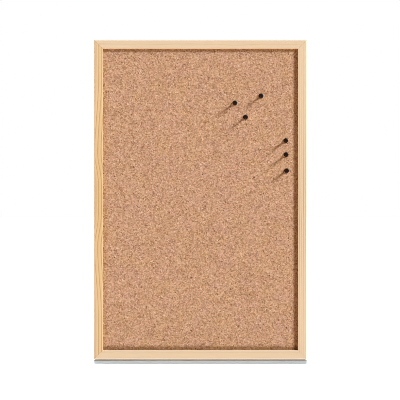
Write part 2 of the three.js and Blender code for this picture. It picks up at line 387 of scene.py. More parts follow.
class Graph:
    """The nodes of one material, group or world."""

    def __init__(self, tree: NodeTree) -> None:
        """Keep the tree that nodes are added to."""
        self.tree = tree

    def put(self, socket: NodeSocket, value: object) -> None:
        """Link an input to another node's output, or set it.

        Args:
            socket: The input.
            value: An output, a value or a colour.
        """
        if isinstance(value, NodeSocket):
            self.tree.links.new(value, socket)
        else:
            socket.default_value = (*value, 1.0) if socket.type == "RGBA" else value

    def node(self, kind: str, inputs: dict[str | int, object] | None = None, **settings: object) -> Node:
        """Add a node.

        Args:
            kind: The node's type.
            inputs: Sockets to link, or values to set, by the input's name or place.
            settings: The node's own properties.

        Returns:
            The new node.
        """
        made = self.tree.nodes.new(kind)
        for name, value in settings.items():
            setattr(made, name, value)
        for key, value in (inputs or {}).items():
            self.put(made.inputs[key], value)
        return made

    def math(self, operation: str, *values: NodeSocket | float) -> NodeSocket:
        """Work out a value from one to three others."""
        return self.node("ShaderNodeMath", dict(enumerate(values)), operation=operation).outputs[0]

    def vector(self, operation: str, *values: NodeSocket | Colour) -> NodeSocket:
        """Work out a vector from two or three others."""
        return self.node("ShaderNodeVectorMath", dict(enumerate(values)), operation=operation).outputs[0]

    def scaled(self, vector: NodeSocket, factor: NodeSocket) -> NodeSocket:
        """Scale a vector or a colour by a value."""
        inputs = {0: vector, "Scale": factor}
        return self.node("ShaderNodeVectorMath", inputs, operation="SCALE").outputs[0]

    def distance(self, across: NodeSocket, up: NodeSocket) -> NodeSocket:
        """How far a place lies from an axis, from its two distances square to it."""
        flat = self.node("ShaderNodeCombineXYZ", {0: across, 1: up}).outputs[0]
        return self.node("ShaderNodeVectorMath", {0: flat}, operation="LENGTH").outputs["Value"]

    def remap(
        self, value: NodeSocket, given: Pair, wanted: Pair = (0.0, 1.0), curve: str = "LINEAR"
    ) -> NodeSocket:
        """Carry a range of values over to another, and hold it at its ends.

        Args:
            value: The value.
            given: The range that it has.
            wanted: The range that it gets.
            curve: The way from end to end, LINEAR or SMOOTHSTEP.

        Returns:
            The new value.
        """
        names = ("From Min", "From Max", "To Min", "To Max")
        inputs = {"Value": value} | dict(zip(names, given + wanted))
        return self.node("ShaderNodeMapRange", inputs, interpolation_type=curve).outputs[0]

    def ramp(self, value: NodeSocket, stops: Sequence[tuple[float, Colour]]) -> NodeSocket:
        """Turn a value into a colour.

        Args:
            value: From 0 to 1.
            stops: Places and their colours, in order.

        Returns:
            The colour.
        """
        made = self.node("ShaderNodeValToRGB", {"Fac": value})
        ramp = made.color_ramp
        while len(ramp.elements) < len(stops):
            ramp.elements.new(1.0)
        for element, (place, colour) in zip(ramp.elements, stops):
            element.position = place
            element.color = (*colour, 1.0)
        return made.outputs["Color"]

    def mix(
        self, share: NodeSocket | float, first: object, second: object, blend: str = "MIX"
    ) -> NodeSocket:
        """Mix two colours, with a share of the second, in the way that blend names."""
        inputs = {0: share, 6: first, 7: second}
        return self.node("ShaderNodeMix", inputs, data_type="RGBA", blend_type=blend).outputs[2]

    def tinted(self, colour: NodeSocket, tint: NodeSocket) -> NodeSocket:
        """Multiply two colours."""
        return self.mix(1.0, colour, tint, "MULTIPLY")

    def noise(
        self, place: NodeSocket, scale: Colour, detail: float = 2.0, roughness: float = 0.5
    ) -> NodeSocket:
        """Noise of about 0 to 1.

        Args:
            place: Place in millimetres.
            scale: Waves per millimetre along each axis.
            detail: Number of finer layers.
            roughness: Strength of the finer layers.

        Returns:
            The noise's value.
        """
        stretched = self.vector("MULTIPLY", place, scale)
        inputs = {"Vector": stretched, "Scale": 1.0, "Detail": detail, "Roughness": roughness}
        return self.node("ShaderNodeTexNoise", inputs).outputs["Fac"]

    def brightness(self, colour: NodeSocket, value: NodeSocket, amount: float) -> NodeSocket:
        """Lighten and darken a colour by a noise round 0.5, up to an amount either way."""
        inputs = {"Value": value, "To Min": 1.0 - amount, "To Max": 1.0 + amount}
        return self.scaled(colour, self.node("ShaderNodeMapRange", inputs, clamp=False).outputs[0])

    def by_camera(self, unseen: Node, seen: Node) -> NodeSocket:
        """Show one shader to the camera, and another to all other rays."""
        ray = self.node("ShaderNodeLightPath").outputs["Is Camera Ray"]
        return self.node("ShaderNodeMixShader", {0: ray, 1: unseen.outputs[0], 2: seen.outputs[0]}).outputs[0]


def new_group(
    name: str, values: Sequence[str], colours: Sequence[str], outputs: dict[str, Kind]
) -> tuple[Graph, dict[str, NodeSocket]]:
    """Start a node group that reads a place in millimetres.

    Args:
        name: The group's name.
        values: Names of the inputs that take a value.
        colours: Names of the inputs that take a colour.
        outputs: Kind of socket by output name.

    Returns:
        The group's graph, and what it is given, by input name.
    """
    tree = bpy.data.node_groups.new(name, "ShaderNodeTree")
    inputs = {"Vector": Kind.VECTOR} | dict.fromkeys(values, Kind.VALUE) | dict.fromkeys(colours, Kind.COLOUR)
    for way, sockets in (("INPUT", inputs), ("OUTPUT", outputs)):
        for socket, kind in sockets.items():
            tree.interface.new_socket(name=socket, in_out=way, socket_type=kind.value)
    graph = Graph(tree)
    given = graph.node("NodeGroupInput").outputs
    return graph, {socket: given[socket] for socket in inputs}


@cache
def pine_grain() -> NodeTree:
    """Build the pine's growth rings and fibres.

    Returns:
        A group whose place lies across the wood from the pith in x and y and along it in z.
    """
    values = ("Ring Width", "Waver", "Bulge", "Sag", "Figure Length", "Sap Radius")
    values += ("Outer Edge", "Mid Depth", "Half Depth")
    colours = ("Early Wood", "Late Wood", "Sapwood", "Branch Tint", "Sanded")
    outputs = {"Color": Kind.COLOUR, "Ring": Kind.VALUE, "Fibre": Kind.VALUE}
    graph, given = new_group("pine_grain", values, colours, outputs)
    place = given["Vector"]
    across, deep, along = graph.node("ShaderNodeSeparateXYZ", {0: place}).outputs

    def swell(length: NodeSocket | float, power: float) -> NodeSocket:
        """A value that falls from 1 at the rail's middle to 0, over a length and with a steepness."""
        reach = graph.math("POWER", graph.math("ABSOLUTE", graph.math("DIVIDE", along, length)), power)
        return graph.math("EXPONENT", graph.math("MULTIPLY", reach, -1.0))

    # The rings swell round a branch that lay near the board's middle, and sag back above and below it
    bulge_length, sag_length, branch_length = 66.0, 165.0, 142.0
    bent = across
    for bend, length in (("Bulge", bulge_length), ("Sag", sag_length)):
        bent = graph.math("SUBTRACT", bent, graph.math("MULTIPLY", swell(length, 4.0), given[bend]))
    drift = graph.math("SUBTRACT", graph.noise(place, (0.03, 0.03, 0.009)), 0.5)
    radius = graph.math("MULTIPLY_ADD", drift, given["Waver"], graph.distance(bent, deep))

    # Years of wide and narrow growth, paler away from the figure's middle
    inputs = {"W": radius, "Scale": 0.16, "Detail": 1.0}
    years = graph.node("ShaderNodeTexNoise", inputs, noise_dimensions="1D").outputs["Fac"]
    uneven = graph.math("MULTIPLY", graph.math("SUBTRACT", years, 0.5), 1.3)
    season = graph.math("FRACT", graph.math("ADD", graph.math("DIVIDE", radius, given["Ring Width"]), uneven))
    tones = ((0.0, 0.12), (0.12, 0.0), (0.45, 0.1), (0.72, 0.5), (0.86, 1.0), (0.95, 0.85), (1.0, 0.12))
    ring = graph.ramp(season, [(stop, (tone,) * 3) for stop, tone in tones])
    figure = graph.math("MULTIPLY_ADD", swell(given["Figure Length"], 2.0), 0.75, 0.25)
    ring = graph.math("MULTIPLY", ring, figure)

    # Paler sapwood, from 2 mm inside its radius to 3 mm outside it
    sap = graph.remap(graph.math("SUBTRACT", radius, given["Sap Radius"]), (-2.0, 3.0))
    early = graph.mix(sap, given["Early Wood"], given["Sapwood"])
    colour = graph.mix(ring, early, given["Late Wood"])
    colour = graph.tinted(colour, graph.mix(swell(branch_length, 2.0), WHITE, given["Branch Tint"]))

    # Painted highlight: the outer arrises get a paler colour, most within 1.3 mm of them and not at all
    # beyond 3.4 mm
    beside = graph.math("SUBTRACT", across, given["Outer Edge"])
    above = graph.math("ABSOLUTE", graph.math("SUBTRACT", deep, given["Mid Depth"]))
    above = graph.math("SUBTRACT", given["Half Depth"], above)
    sanded = graph.remap(graph.distance(beside, above), (1.3, 3.4), (0.9, 0.0), "SMOOTHSTEP")
    colour = graph.mix(sanded, colour, given["Sanded"])

    fibre = graph.noise(place, (0.9, 0.9, 0.02), detail=4.0, roughness=0.6)
    hair = graph.noise(place, (3.6, 3.6, 0.06))
    colour = graph.brightness(graph.brightness(colour, fibre, 0.09), hair, 0.06)
    graph.node("NodeGroupOutput", {"Color": colour, "Ring": ring, "Fibre": fibre})
    return graph.tree


@cache
def fibres() -> NodeTree:
    """Build the pressed fibres of softboard and hardboard.

    Returns:
        A group with the fibres' colour and height.
    """
    outputs = {"Color": Kind.COLOUR, "Height": Kind.VALUE}
    graph, given = new_group("fibres", ("Fibre Length",), ("Pale", "Dark"), outputs)
    place = given["Vector"]
    lengths = graph.scaled(place, graph.math("DIVIDE", 1.0, given["Fibre Length"]))
    lying = graph.noise(lengths, (1.0, 6.0, 5.0), detail=3.0, roughness=0.65)
    crossing = graph.noise(lengths, (5.0, 6.0, 1.0), detail=3.0, roughness=0.65)
    felt = graph.math("MAXIMUM", lying, crossing)
    cloud = graph.noise(place, (0.05,) * 3, detail=3.0)
    colour = graph.mix(graph.remap(felt, (0.35, 0.75)), given["Dark"], given["Pale"])
    graph.node("NodeGroupOutput", {"Color": graph.brightness(colour, cloud, 0.16), "Height": felt})
    return graph.tree


@cache
def scuffs() -> NodeTree:
    """Build the clouding and fine scratches of plated steel.

    Returns:
        A group with the plating's colour and roughness.
    """
    outputs = {"Color": Kind.COLOUR, "Roughness": Kind.VALUE}
    graph, given = new_group("scuffs", ("Gloss",), ("Plating", "Dull"), outputs)
    place = given["Vector"]
    cloud = graph.noise(place, (0.35,) * 3, detail=4.0, roughness=0.6)
    scratch = graph.remap(graph.noise(place, (7.0, 7.0, 0.35), detail=1.0), (0.62, 0.72))
    colour = graph.mix(cloud, given["Plating"], given["Dull"])
    rough = graph.math("MULTIPLY_ADD", cloud, 0.22, given["Gloss"])
    rough = graph.math("MULTIPLY_ADD", scratch, 0.12, rough)
    graph.node("NodeGroupOutput", {"Color": colour, "Roughness": rough})
    return graph.tree


class Surface(Graph):
    """The nodes of a new material, with its shader and a place vector in millimetres."""

    def __init__(self, name: str, turn: Colour = (0.0, 0.0, 0.0), shift: Colour = (0.0, 0.0, 0.0)) -> None:
        """Start the material.

        Args:
            name: The material's name.
            turn: Turn of the place vector, in radians.
            shift: Shift of the place vector, in millimetres.
        """
        self.material = bpy.data.materials.new(name)
        self.material.use_nodes = True
        super().__init__(self.material.node_tree)
        self.shader = self.tree.nodes["Principled BSDF"]
        spot = self.node("ShaderNodeTexCoord").outputs["Object"]
        inputs = {"Vector": spot, "Location": shift, "Rotation": turn, "Scale": (PER_METRE,) * 3}
        self.place = self.node("ShaderNodeMapping", inputs, vector_type="POINT").outputs[0]

    def group(self, tree: NodeTree, finish: object, **more: float) -> list[NodeSocket]:
        """Place a node group that reads this surface's place and a finish's fields.

        Args:
            tree: The group.
            finish: Has a field for each other input, with the input's name.
            more: Values for inputs that the finish has no field for.

        Returns:
            The group's outputs.
        """
        made = self.node("ShaderNodeGroup", node_tree=tree)
        given = vars(finish) | more | {"vector": self.place}
        for socket in made.inputs:
            self.put(socket, given[socket.name.lower().replace(" ", "_")])
        return list(made.outputs)

    def dress(self, **inputs: object) -> None:
        """Link or set the shader's inputs, named with underscores for spaces."""
        for name, value in inputs.items():
            self.put(self.shader.inputs[name.replace("_", " ")], value)

    def bump(self, height: NodeSocket, depth: float, strength: float) -> None:
        """Raise the surface by a height of 0 to 1 times a depth in metres, shaded with a strength."""
        inputs = {"Height": height, "Distance": depth, "Strength": strength}
        self.dress(Normal=self.node("ShaderNodeBump", inputs).outputs[0])


@dataclass(frozen=True)
class PineFinish:
    """Planed, unvarnished pine with its grain along one rail, its lengths in millimetres."""

    side: Side
    early_wood: Colour
    late_wood: Colour
    ring_width: float
    pith: Pair
    waver: float
    bulge: float = 0.0
    sag: float = 0.0
    figure_length: float = 5000.0
    sap_radius: float = 5000.0
    sapwood: Colour = (0.9, 0.7, 0.5)
    branch_tint: Colour = WHITE
    # painted highlight colour for the rounded outer arrises
    sanded: Colour = (0.88, 0.68, 0.47)

    def material(self, board: "BoardBox") -> Material:
        """Make the material.

        Args:
            board: The frame's outline.

        Returns:
            The new material.
        """
        middle, outward = board.middle, self.side.outward
        upright = self.side in (Side.LEFT, Side.RIGHT)
        turn = (0.0, 0.0, 0.0) if upright else (0.0, math.pi / 2, 0.0)
        across = middle.x if upright else middle.z
        down = -middle.z if upright else middle.x
        shift = (self.pith[0] - across * PER_METRE, self.pith[1], down * PER_METRE)
        surface = Surface(f"pine_{self.side.label}", turn, shift)
        colour, ring, fibre = surface.group(
            pine_grain(),
            self,
            outer_edge=self.pith[0] + board.half(outward) * sum(outward) * PER_METRE,
            mid_depth=self.pith[1] + (board.low.y + board.high.y) / 2 * PER_METRE,
            half_depth=board.half(TOWARDS_WALL) * PER_METRE,
        )
        rough = surface.math("MULTIPLY_ADD", fibre, 0.2, 0.48)
        surface.dress(Base_Color=colour, Roughness=rough, Specular_IOR_Level=0.3)
        surface.bump(surface.math("MULTIPLY_ADD", ring, 0.5, fibre), 0.05 * MM, 0.5)
        return surface.material


@dataclass(frozen=True)
class PaintedShade:
    """A band of painted shade on the cork along one side of the frame, in millimetres."""

    side: Side
    edge: float
    dark_width: float
    full_width: float
    shade: Colour
    stray: float = 4.0

    def tint(self, surface: Surface, ragged: NodeSocket) -> NodeSocket:
        """Work out the painted shade that the cork's colour is multiplied by.

        Args:
            surface: The cork's material.
            ragged: Noise round 0.5 that makes the band's edge uneven.

        Returns:
            From the shade to white.
        """
        inputs = {0: surface.place, 1: self.side.outward}
        outward = surface.node("ShaderNodeVectorMath", inputs, operation="DOT_PRODUCT").outputs["Value"]
        depth = surface.math("SUBTRACT", self.edge, outward)
        depth = surface.math("MULTIPLY_ADD", surface.math("SUBTRACT", ragged, 0.5), self.stray, depth)
        unshaded = surface.remap(depth, (self.dark_width, self.full_width), curve="SMOOTHSTEP")
        return surface.mix(unshaded, self.shade, WHITE)


@dataclass(frozen=True)
class CorkFinish:
    """Pressed cork granules of mixed tones, with bands of painted shade along the inside of the frame.

    Lengths are in millimetres. A granule is pale heart, dark rind or a speck of bark where its own
    random number from 0 to 1 lies below or above a bound.
    """

    name: str
    shades: tuple[tuple[float, Colour], ...]
    painted_shades: tuple[PaintedShade, ...]
    granule: float = 2.0
    crumb: float = 1.1
    sway: float = 1.6
    gap: float = 0.11
    gap_tint: Colour = (0.76, 0.70, 0.64)
    rosy: Colour = (1.0, 0.99, 1.06)
    tawny: Colour = (1.0, 1.005, 0.94)
    heart: Colour = srgb(252, 222, 194)
    heart_below: float = 0.05
    heart_share: float = 0.6
    bark: Colour = srgb(112, 70, 45)
    rind_above: float = 0.96
    rind_share: float = 0.9
    bark_above: float = 0.9994

    def material(self) -> Material:
        """Make the material.

        Returns:
            The new material.
        """
        surface = Surface(self.name)
        sway = surface.node("ShaderNodeTexNoise", {"Vector": surface.place, "Scale": 0.45, "Detail": 2.0})
        sway = surface.vector("SUBTRACT", sway.outputs["Color"], (0.5,) * 3)
        place = surface.vector("MULTIPLY_ADD", sway, (self.sway,) * 3, surface.place)
        whole = {"Vector": place, "Scale": 1.0 / self.granule}
        broken = {"Vector": place, "Scale": 1.0 / self.crumb}
        granules, crumbs = (surface.node("ShaderNodeTexVoronoi", size).outputs for size in (whole, broken))
        tone, warmth, chance = surface.node("ShaderNodeSeparateColor", {0: granules["Color"]}).outputs
        crumb_tone = surface.node("ShaderNodeSeparateColor", {0: crumbs["Color"]}).outputs[0]
        dust = surface.noise(surface.place, (1.6,) * 3, detail=3.0, roughness=0.6)
        # Half of the tone is the granule's own, the rest is from its crumbs and the dust on it
        mixed = surface.math("MULTIPLY_ADD", tone, 0.5, surface.math("MULTIPLY", crumb_tone, 0.3))
        mixed = surface.math("MULTIPLY_ADD", dust, 0.2, mixed)
        colour = surface.ramp(mixed, self.shades)

        # Pinker and yellower granules and patches, and the gaps between the granules
        hue = surface.mix(warmth, (1.01, 0.998, 0.99), (0.99, 1.002, 1.01))
        patch = surface.remap(surface.noise(surface.place, (0.04,) * 3), (0.35, 0.65))
        edges = surface.node("ShaderNodeTexVoronoi", whole, feature="DISTANCE_TO_EDGE").outputs["Distance"]
        body = surface.remap(edges, (0.0, self.gap), curve="SMOOTHSTEP")
        gaps = surface.mix(body, self.gap_tint, WHITE)
        for tint in (hue, surface.mix(patch, self.rosy, self.tawny), gaps):
            colour = surface.tinted(colour, tint)

        heart = surface.remap(chance, (0.0, self.heart_below), (self.heart_share, 0.0))
        rind = surface.remap(chance, (self.rind_above, 1.0), (0.0, self.rind_share))
        bark = surface.math("GREATER_THAN", chance, self.bark_above)
        for share, shade in ((heart, self.heart), (rind, self.bark), (bark, self.bark)):
            colour = surface.mix(share, colour, shade)
        ragged = surface.noise(surface.place, (0.12,) * 3, detail=3.0)
        # Painted shade: each band darkens the cork towards one of the frame's sight edges
        for painted_band in self.painted_shades:
            colour = surface.tinted(colour, painted_band.tint(surface, ragged))

        dome = surface.math("SUBTRACT", 1.0, granules["Distance"])
        height = surface.math("MULTIPLY_ADD", dust, 0.5, surface.math("MULTIPLY_ADD", body, 0.4, dome))
        rough = surface.math("MULTIPLY_ADD", dust, 0.15, 0.8)
        surface.dress(Base_Color=colour, Roughness=rough, Specular_IOR_Level=0.15)
        surface.bump(height, 0.2 * MM, 0.4)
        return surface.material


@dataclass(frozen=True)
class FibreboardFinish:
    """Pressed wood fibre, plain or with the print of the press's wire screen."""

    name: str
    pale: Colour
    dark: Colour
    fibre_length: float
    roughness: float
    screen_pitch: float = 0.0

    def material(self) -> Material:
        """Make the material.

        Returns:
            The new material.
        """
        surface = Surface(self.name)
        colour, felt = surface.group(fibres(), self)
        height = felt
        if self.screen_pitch:
            across, _, up = surface.node("ShaderNodeSeparateXYZ", {0: surface.place}).outputs
            turn = 2 * math.pi / self.screen_pitch
            waves = [surface.math("SINE", surface.math("MULTIPLY", way, turn)) for way in (across, up)]
            screen = surface.math("MULTIPLY_ADD", surface.math("MULTIPLY", *waves), 0.5, 0.5)
            colour = surface.brightness(colour, screen, 0.12)
            height = surface.math("MULTIPLY_ADD", screen, 1.2, felt)
        rough = surface.math("MULTIPLY_ADD", felt, 0.2, self.roughness - 0.1)
        surface.dress(Base_Color=colour, Roughness=rough, Specular_IOR_Level=0.25)
        surface.bump(height, 0.12 * MM, 0.6)
        return surface.material


@dataclass(frozen=True)
class SteelFinish:
    """Plated sheet or wire with faint clouding and scratches."""

    name: str
    plating: Colour
    dull: Colour
    gloss: float

    def material(self) -> Material:
        """Make the material.

        Returns:
            The new material.
        """
        surface = Surface(self.name)
        colour, rough = surface.group(scuffs(), self)
        surface.dress(Base_Color=colour, Roughness=rough, Metallic=1.0)
        return surface.material


@dataclass(frozen=True)
class PlasticFinish:
    """Glossy moulded plastic with a faint flow in its gloss."""

    name: str
    colour: Colour
    bloom: Colour
    gloss: float

    def material(self) -> Material:
        """Make the material.

        Returns:
            The new material.
        """
        surface = Surface(self.name)
        flow = surface.noise(surface.place, (0.5, 0.25, 0.5), detail=3.0)
        peel = surface.noise(surface.place, (2.2,) * 3, detail=1.0)
        rough = surface.math("MULTIPLY_ADD", flow, 0.12, self.gloss)
        colour = surface.mix(flow, self.colour, self.bloom)
        surface.dress(Base_Color=colour, Roughness=rough, Specular_IOR_Level=0.3)
        surface.bump(peel, 0.01 * MM, 0.4)
        return surface.material


# The board's sub-assemblies


@dataclass
class BoardBox:
    """The frame's outline, taken from the CAD rails."""

    low: Vector
    high: Vector

    @classmethod
    def from_rails(cls) -> "BoardBox":
        """Measure the CAD rails.

        Returns:
            Their outline.
        """
        boxes = [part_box(f"rail_{side.label}") for side in Side]
        low = Vector(min(box[0][axis] for box in boxes) for axis in range(3))
        high = Vector(max(box[1][axis] for box in boxes) for axis in range(3))
        return cls(low, high)

    @property
    def middle(self) -> Vector:
        """The outline's middle, in the plane of the rails' backs."""
        centre = (self.low + self.high) / 2
        return Vector((centre.x, self.high.y, centre.z))

    def half(self, way: Vector) -> float:
        """Half the outline's size along an axis."""
        return abs((self.high - self.low).dot(way)) / 2


@dataclass
class PineFrame:
    """Four mitred rails, each with a rebate for the panel and slots for its fixings."""

    board: BoardBox
    outer_round: float = 2.5 * MM
    sight_round: float = 0.7 * MM
    back_round: float = 0.6 * MM
    rebate_round: float = 0.3 * MM
    lip_room: float = 0.3 * MM
    panel_play: float = 1.0 * MM
    mitre_gap: float = 0.1 * MM
    mitre_arris: float = 0.2 * MM
    slot_room: float = 0.15 * MM
    slot_open: float = 0.6 * MM

    def build(self) -> None:
        """Build and dress the four rails."""
        for finish in self.finishes():
            rail = self.rail(finish.side)
            self.cut_slots(rail, finish.side)
            smooth(rail)
            fit(rail, f"rail_{finish.side.label}", finish.material(self.board))

    def finishes(self) -> tuple[PineFinish, ...]:
        """Choose each rail's own pine: the left one is yellower, from nearer a branch.

        Returns:
            A finish for each side.
        """
        pale: Colour = (0.845, 0.62, 0.41)
        bright: Colour = (0.875, 0.64, 0.42)
        streak: Colour = (0.76, 0.515, 0.30)
        faint: Colour = (0.81, 0.58, 0.37)
        tawny: Colour = (0.57, 0.32, 0.13)
        honey: Colour = (0.885, 0.595, 0.32)
        amber: Colour = (0.56, 0.30, 0.10)
        resin: Colour = (0.96, 0.92, 0.83)
        # paler painted highlight for the bottom rail's outer arrises
        pale_highlight: Colour = (0.97, 0.84, 0.69)
        return (
            PineFinish(Side.TOP, pale, streak, ring_width=9.0, pith=(40.0, 34.0), waver=9.0),
            PineFinish(
                Side.RIGHT, bright, tawny, ring_width=3.8, pith=(-130.0, 12.0), waver=3.0,
                figure_length=130.0,
            ),
            PineFinish(
                Side.BOTTOM, bright, faint, ring_width=9.0, pith=(-34.0, 40.0), waver=9.0,
                sanded=pale_highlight,
            ),
            PineFinish(
                Side.LEFT, honey, amber, ring_width=5.6, pith=(120.0, 9.0), waver=1.5,
                bulge=8.5, sag=-8.6, sap_radius=75.0, sapwood=pale, branch_tint=resin,
            ),
        )

    def rail(self, side: Side) -> Object:
        """Model one rail: a block with its lip extruded, its arrises rounded and its ends mitred.

        Args:
            side: The side of the board.

        Returns:
            The rail without its slots.
        """
        board, outward, along = self.board, side.outward, side.along
        middle = board.middle
        reach, run = board.half(outward), board.half(along)
        front, back = board.low.y, board.high.y
        rail_low, rail_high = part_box(f"rail_{side.label}")
        sight = reach - abs((rail_high - rail_low).dot(outward))
        cork_low, cork_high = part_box("cork_sheet")
        wall = abs((cork_high - cork_low).dot(outward)) / 2 + self.panel_play
        lip_back = cork_low.y - self.lip_room

        first = middle + outward * wall - along * run + TOWARDS_FRONT * (back - front)
        second = middle + outward * reach + along * run
        piece = block(f"{side.label}_rail", first, second)

        def on_arris(place: Vector, width: float, depth: float) -> bool:
            """Whether a place lies on a long arris, by its distance from the middle and its depth."""
            return near((place - middle).dot(outward), width) and near(place.y, depth)

        with editing(piece):
            bpy.ops.mesh.select_all(action="SELECT")
            bpy.ops.mesh.bisect(plane_co=(0.0, lip_back, 0.0), plane_no=TOWARDS_WALL)
            pick(piece, Part.FACES, lambda spot, normal: normal.dot(outward) < -FACING and spot.y < lip_back)
            bpy.ops.mesh.extrude_region_move(TRANSFORM_OT_translate={"value": outward * (sight - wall)})
            rounds = (
                (reach, front, self.outer_round, 8),
                (sight, front, self.sight_round, 4),
                (reach, back, self.back_round, 3),
                (wall, back, self.rebate_round, 2),
            )
            for width, depth, radius, segments in rounds:
                pick(piece, Part.EDGES, lambda *ends: all(on_arris(end, width, depth) for end in ends))
                bpy.ops.mesh.bevel(offset=radius, segments=segments, affect="EDGES")
            for way in (along, -along):
                normal = (way - outward).normalized()
                corner = middle + outward * reach + way * run - normal * (self.mitre_gap / 2)
                bpy.ops.mesh.select_all(action="SELECT")
                bpy.ops.mesh.bisect(plane_co=corner, plane_no=normal, use_fill=True, clear_outer=True)
                pick(
                    piece,
                    Part.EDGES,
                    lambda *ends: all(near((end - corner).dot(normal), 0.0) for end in ends),
                )
                bpy.ops.mesh.bevel(offset=self.mitre_arris, segments=2, affect="EDGES")
        return piece

    def cut_slots(self, rail: Object, side: Side) -> None:
        """Cut a slot or hole for each fixing that is driven into a rail; corner nails lie in open slots.

        Args:
            rail: The rail.
            side: Its side of the board.
        """
        cutters = []
        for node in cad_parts:
            words = node.split("_")
            if words[0] in ("corner", "point", "hanger") and side.label in words and words[-1].isdigit():
                cutter = merged_copy(node, f"cutter_{node}")
                with editing(cutter):
                    bpy.ops.mesh.select_all(action="SELECT")
                    bpy.ops.transform.shrink_fatten(value=self.slot_room, use_even_offset=True)
                    if words[0] == "corner":
                        pick(cutter, Part.FACES, lambda spot, normal: normal.y > FACING)
                        bpy.ops.transform.translate(value=TOWARDS_WALL * self.slot_open)
                cutters.append(cutter)
        carve(rail, cutters)


@dataclass
class Panel:
    """Cork, softboard and hardboard, bonded into one sheet."""

    grid_pitch: float = 1.7 * MM
    granule_relief: float = 0.12 * MM
    granule_size: float = 3.0 * MM
    swell_relief: float = 0.10 * MM
    swell_size: float = 14.0 * MM
    plain_rim: float = 1.0 * MM
    needle_room: float = 0.1 * MM
    hole_sides: int = 16
    hardboard_arris: float = 0.3 * MM
    sight_inset: float = 5.0 * MM
    smooth_below: float = 60.0

    def build(self) -> None:
        """Build and dress the three layers."""
        cork = self.cork_face()
        self.pierce(cork)
        fit(cork, "cork_sheet", self.cork_finish().material())

        back = block("hardboard_sheet", *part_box("hardboard_back"))
        soften(back, self.hardboard_arris)
        smooth(back)
        screened = FibreboardFinish(
            "hardboard", pale=(0.27, 0.125, 0.06), dark=(0.15, 0.063, 0.028),
            fibre_length=2.5, roughness=0.62, screen_pitch=1.4,
        )
        fit(back, "hardboard_back", screened.material())

        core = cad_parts["softboard_core"]
        felted = FibreboardFinish(
            "softboard", pale=(0.47, 0.34, 0.21), dark=(0.3, 0.2, 0.115), fibre_length=3.0, roughness=0.9
        )
        core.material_slots[0].material = felted.material()
        LOG.info("%s: CAD node kept, with a new finish", core.name)

    def cork_finish(self) -> CorkFinish:
        """Choose the cork's granules, from dark bark to pale heart, and the bands of painted shade along its
        sight edges.

        Returns:
            The finish.
        """
        shades = (
            (0.08, srgb(133, 88, 56)),
            (0.28, srgb(181, 134, 100)),
            (0.50, srgb(210, 162, 127)),
            (0.72, srgb(228, 180, 145)),
            (0.92, srgb(244, 201, 166)),
        )
        # Painted shade by the lips: the bottom band stands in for a shadow, the top and right ones deepen and
        # warm the cast shadows, the left one dims light bounced off the lip
        shaded_rims = (
            (Side.BOTTOM, 4.0, 11.0, (0.565, 0.49, 0.36)),
            (Side.TOP, 8.0, 16.0, (0.90, 0.93, 0.95)),
            (Side.LEFT, 4.0, 12.0, (0.84, 0.83, 0.76)),
            (Side.RIGHT, 4.5, 12.0, (0.80, 0.72, 0.65)),
        )
        painted_shades = tuple(PaintedShade(side, self.sight_edge(side), *rim) for side, *rim in shaded_rims)
        return CorkFinish("cork", shades, painted_shades)

    def sight_edge(self, side: Side) -> float:
        """How far out the cork shows on one side, in millimetres from the origin."""
        corners = [corner.dot(side.outward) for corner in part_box("cork_sheet")]
        return (max(corners) - self.sight_inset) * PER_METRE

    def cork_face(self) -> Object:
        """Model the cork: a fine grid with a rim and a back, its face roughened inwards.

        Returns:
            The sheet without its needle holes.
        """
        low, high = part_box("cork_sheet")
        size = high - low
        bpy.ops.object.select_all(action="DESELECT")
        bpy.ops.mesh.primitive_grid_add(
            x_subdivisions=round(size.x / self.grid_pitch),
            y_subdivisions=round(size.z / self.grid_pitch),
            size=1.0,
            location=(low.x + size.x / 2, low.y, low.z + size.z / 2),
            rotation=(math.pi / 2, 0.0, 0.0),
        )
        sheet = bpy.context.object
        sheet.scale = (size.x, size.z, 1.0)
        settle(sheet, "cork_face")
        rim = self.plain_rim
        inner = [
            spot.index
            for spot in sheet.data.vertices
            if low.x + rim < spot.co.x < high.x - rim and low.z + rim < spot.co.z < high.z - rim
        ]
        sheet.vertex_groups.new(name="face").add(inner, 1.0, "REPLACE")
        with editing(sheet):
            bpy.ops.mesh.select_mode(type=Part.EDGES.value)
            bpy.ops.mesh.select_non_manifold()
            bpy.ops.mesh.extrude_edges_move(TRANSFORM_OT_translate={"value": TOWARDS_WALL * size.y})
            bpy.ops.mesh.edge_face_add()
            bpy.ops.mesh.select_all(action="SELECT")
            bpy.ops.mesh.normals_make_consistent(inside=False)
        self.roughen(sheet, "VORONOI", self.granule_size, self.granule_relief)
        self.roughen(sheet, "CLOUDS", self.swell_size, self.swell_relief)
        smooth(sheet, self.smooth_below)
        return sheet

    def roughen(self, sheet: Object, texture: str, size: float, depth: float) -> None:
        """Press a texture into the cork's face.

        Args:
            sheet: The cork.
            texture: Kind of texture.
            size: Size of its features.
            depth: How far it reaches into the sheet.
        """
        pattern = bpy.data.textures.new(f"cork_{texture.lower()}", texture)
        pattern.noise_scale = size
        apply_modifier(
            sheet, "DISPLACE", texture=pattern, texture_coords="GLOBAL", direction="Y",
            mid_level=0.0, strength=depth, vertex_group="face",
        )

    def pierce(self, sheet: Object) -> None:
        """Make the holes that the needles go through.

        Args:
            sheet: The cork.
        """
        cutters = []
        for number in PIN_NUMBERS:
            node = f"pin_{number}_needle"
            low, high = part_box(node)
            radius = (high.x - low.x) / 2 + self.needle_room
            stations = [(0.0, radius), (high.y - low.y, radius)]
            foot = end_of(node, TOWARDS_WALL)
            cutters.append(turned(f"cutter_{node}", foot, TOWARDS_FRONT, stations, self.hole_sides))
        carve(sheet, cutters, "MANIFOLD")


